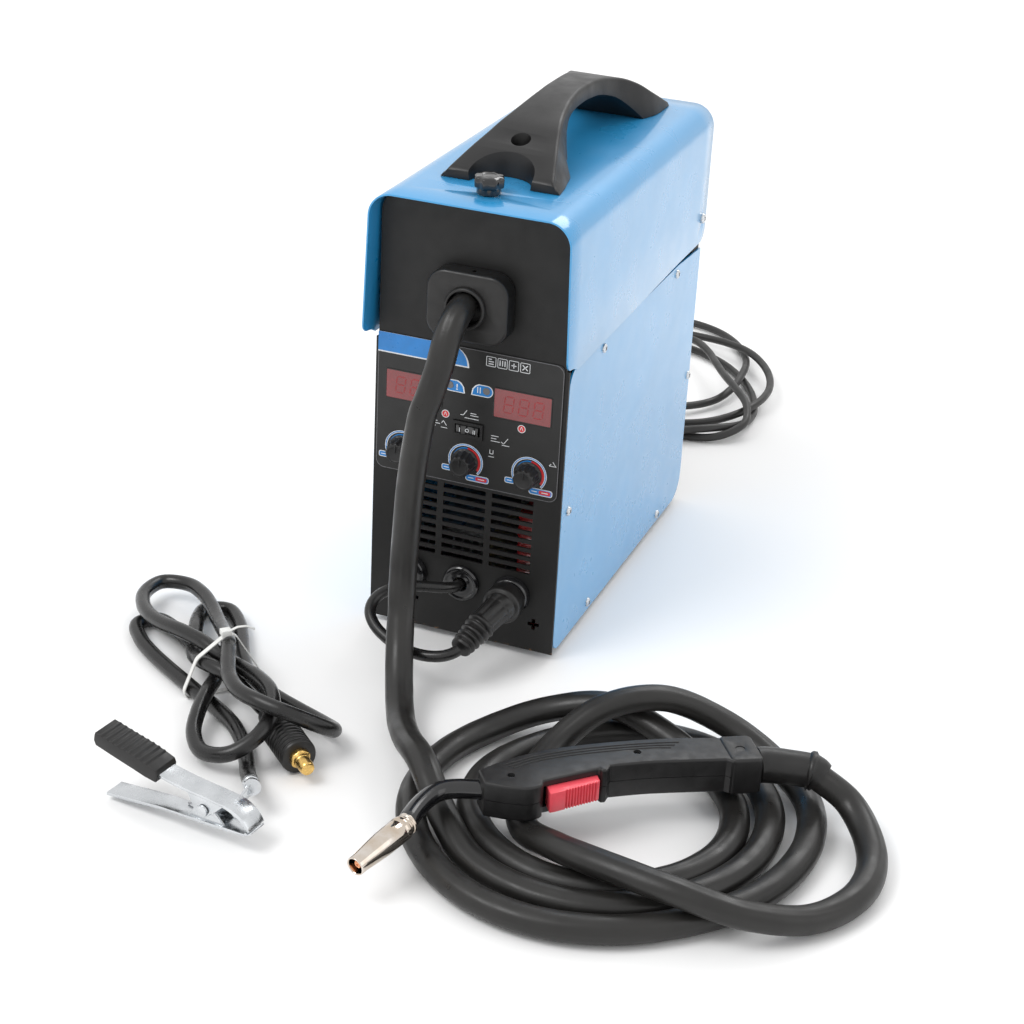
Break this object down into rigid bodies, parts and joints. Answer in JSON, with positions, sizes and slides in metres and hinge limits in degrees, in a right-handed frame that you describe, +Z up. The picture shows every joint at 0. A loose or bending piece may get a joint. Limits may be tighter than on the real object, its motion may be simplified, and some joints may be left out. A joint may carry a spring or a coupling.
{
  "type": "mig welder",
  "caption": "Portable inverter MIG welder with hinged cover, carry handle, front controls, polarity plug, and its torch, earth clamp and mains leads.",
  "frame": {"origin": "centre of the base's footprint, on the floor plane the four rubber feet stand on", "axes": "+Z up, the front control panel faces -Y, +X to the machine's left-hand side as it faces out"},
  "size_m": [0.6734, 1.1769, 0.4321],
  "materials": {
    "rubber": "matt, lightly polished by handling",
    "galvanised": "zinc coated sheet",
    "black_paint": "fine textured powder coat",
    "blue_paint": "satin powder coat",
    "black_moulding": "fine spark texture",
    "gloss_black": "polished",
    "satin_overlay": "printed satin film",
    "zinc": "bright zinc plate",
    "grey_nylon": "moulded nylon",
    "copper_wire": "copper coated steel wire, close wound",
    "cast_alloy": "as cast",
    "extruded_alloy": "extruded fins",
    "red_winding": "varnished winding",
    "yellow_tape": "taped winding",
    "red_plastic": "moulded red",
    "nozzle_chrome": "plated",
    "white_nylon": "nylon strip"
  },
  "bodies": {
    "casing": {"foot_front_left": "rubber", "foot_front_right": "rubber", "foot_rear_left": "rubber", "foot_rear_right": "rubber", "base_tray": "galvanised", "front_panel": "black_paint", "rear_panel": "black_paint", "side_panel_left": "blue_paint", "side_panel_right": "blue_paint", "pivot_screw_left": "zinc", "pivot_screw_right": "zinc", "mid_shelf": "galvanised", "spool_wall": "galvanised", "spool_hub": "grey_nylon", "feed_block": "grey_nylon", "feed_motor": "zinc", "heatsink": "extruded_alloy", "output_choke": "red_winding", "main_transformer": "yellow_tape", "fan_frame": "black_moulding", "control_overlay": "satin_overlay", "mode_switch_body": "black_moulding", "torch_gland_block": "black_moulding", "socket_minus": "black_moulding", "socket_plus": "black_moulding", "cable_grommet": "rubber", "polarity_plug": "rubber", "polarity_cable": "rubber", "power_switch_body": "black_moulding", "mains_gland": "black_moulding", "torch_handle": "black_moulding", "swan_neck": "gloss_black", "gas_nozzle": "nozzle_chrome", "torch_boot": "rubber", "torch_hose": "rubber", "earth_plug": "rubber", "clamp_lower_arm": "zinc", "clamp_pivot_pin": "zinc", "clamp_spring": "zinc", "cable_tie": "white_nylon", "mains_plug": "rubber", "earth_cable": "rubber", "mains_cable": "rubber"},
    "cover": {"upper_cover": "blue_paint", "carry_handle": "black_moulding"},
    "thumbscrew": {"cover_thumbscrew": "black_moulding"},
    "mode_rocker": {"mode_switch_rocker": "gloss_black"},
    "speed_knob": {"wire_speed_knob": "black_moulding"},
    "volt_knob": {"voltage_knob": "black_moulding"},
    "choke_knob": {"inductance_knob": "black_moulding"},
    "spool": {"wire_spool": "black_moulding", "welding_wire_coil": "copper_wire"},
    "drive": {"drive_roll": "zinc"},
    "idler": {"pressure_roll": "zinc"},
    "pressure": {"pressure_arm": "cast_alloy"},
    "tension": {"tension_knob": "black_moulding"},
    "fan": {"fan_rotor": "black_moulding"},
    "power_rocker": {"power_switch_rocker": "gloss_black"},
    "trigger": {"torch_trigger": "red_plastic"},
    "clamp_jaw": {"clamp_upper_arm": "zinc"}
  },
  "joints": [
    {"name": "cover_hinge", "type": "hinge", "parent": "casing", "child": "cover", "pos_m": [0, 0.169, 0.284], "axis": [-1, 0, 0], "range_deg": [0, 75]},
    {"name": "thumbscrew_turn", "type": "hinge", "parent": "cover", "child": "thumbscrew", "pos_m": [0, -0.155, 0.385], "axis": [0, 0, 1], "continuous": true},
    {"name": "mode_switch", "type": "hinge", "parent": "casing", "child": "mode_rocker", "pos_m": [0, -0.171, 0.194], "axis": [0, 0, 1], "range_deg": [-9, 9]},
    {"name": "wire_speed_turn", "type": "hinge", "parent": "casing", "child": "speed_knob", "pos_m": [-0.057, -0.176, 0.166], "axis": [0, 1, 0], "range_deg": [-150, 150]},
    {"name": "voltage_turn", "type": "hinge", "parent": "casing", "child": "volt_knob", "pos_m": [-0.001, -0.176, 0.166], "axis": [0, 1, 0], "range_deg": [-150, 150]},
    {"name": "inductance_turn", "type": "hinge", "parent": "casing", "child": "choke_knob", "pos_m": [0.054, -0.176, 0.166], "axis": [0, 1, 0], "range_deg": [-150, 150]},
    {"name": "spool_turn", "type": "hinge", "parent": "casing", "child": "spool", "pos_m": [-0.003, 0.03, 0.272], "axis": [1, 0, 0], "continuous": true},
    {"name": "drive_turn", "type": "hinge", "parent": "casing", "child": "drive", "pos_m": [0, -0.115, 0.288], "axis": [1, 0, 0], "continuous": true},
    {"name": "pressure_roll_turn", "type": "hinge", "parent": "pressure", "child": "idler", "pos_m": [0, -0.115, 0.3154], "axis": [1, 0, 0], "continuous": true},
    {"name": "pressure_arm_lift", "type": "hinge", "parent": "casing", "child": "pressure", "pos_m": [0, -0.143, 0.33], "axis": [1, 0, 0], "range_deg": [0, 15]},
    {"name": "tension_turn", "type": "hinge", "parent": "pressure", "child": "tension", "pos_m": [0.0076, -0.092, 0.313], "axis": [0, 0, 1], "continuous": true},
    {"name": "fan_turn", "type": "hinge", "parent": "casing", "child": "fan", "pos_m": [0, 0.16, 0.085], "axis": [0, 1, 0], "continuous": true},
    {"name": "power_switch", "type": "hinge", "parent": "casing", "child": "power_rocker", "pos_m": [0.04, 0.17, 0.1465], "axis": [1, 0, 0], "range_deg": [-8, 8]},
    {"name": "trigger_press", "type": "hinge", "parent": "casing", "child": "trigger", "pos_m": [0.19708, -0.39697, 0.0425], "axis": [0, 0, -1], "range_deg": [0, 5], "stiffness_Nm_per_rad": 0.6, "springref_deg": -20.05},
    {"name": "clamp_squeeze", "type": "hinge", "parent": "casing", "child": "clamp_jaw", "pos_m": [-0.052, -0.514, 0.024], "axis": [0.146, 0.9893, 0], "range_deg": [-22, 0], "stiffness_Nm_per_rad": 1.2, "springref_deg": 34.38}
  ]
}
